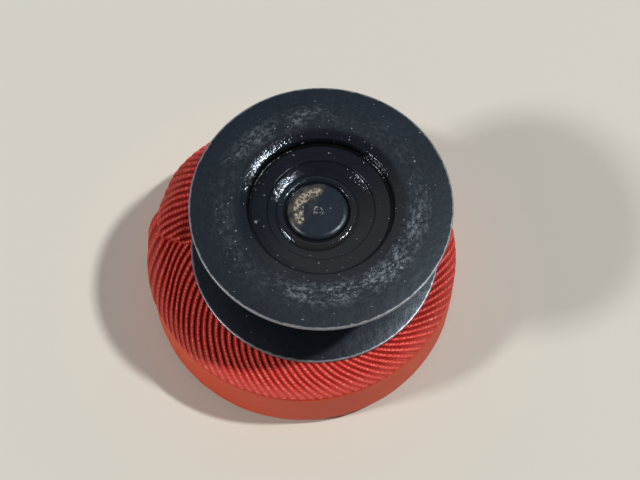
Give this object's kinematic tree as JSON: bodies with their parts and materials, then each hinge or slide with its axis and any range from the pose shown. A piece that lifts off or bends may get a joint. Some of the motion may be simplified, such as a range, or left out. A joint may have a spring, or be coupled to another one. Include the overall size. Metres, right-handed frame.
{
  "type": "spool-backed ribbon rosette",
  "caption": "Small round red ribbon rosette for a lapel, lying face down, with a black lacquered spool-shaped stud riveted to its back.",
  "frame": {"origin": "middle of the rosette's face, on the surface that it lies on", "axes": "+Z from the face to the back, along the stud; +X from the rosette's middle to the stud, which stands a little off centre"},
  "size_m": [0.016, 0.016, 0.01],
  "materials": {
    "smooth_silk": "satin",
    "ribbed_silk": "ribbed satin",
    "thread": "matte",
    "felt": "matte",
    "cotton": "matte",
    "card": "matte",
    "tinplate": "dull",
    "black_lacquer": "satin, scuffed",
    "worn_lacquer": "satin, rubbed through in places"
  },
  "bodies": {
    "rosette": {"face_cloth": "smooth_silk", "face_pad": "felt", "face_shell": "tinplate", "card_filler": "card", "back_collet": "tinplate", "shoulder_roll": "cotton", "rib_ribbon": "ribbed_silk", "ribbon_end": "ribbed_silk", "gather_thread": "thread"},
    "stud": {"back_flange": "black_lacquer", "front_flange": "black_lacquer", "neck_tube": "black_lacquer", "rivet": "worn_lacquer", "clinch_washer": "tinplate"}
  },
  "joints": [
    {"name": "stud_swivel", "type": "hinge", "parent": "rosette", "child": "stud", "pos_m": [0.0008, 0, 0.00285], "axis": [0, 0, 1], "continuous": true}
  ]
}
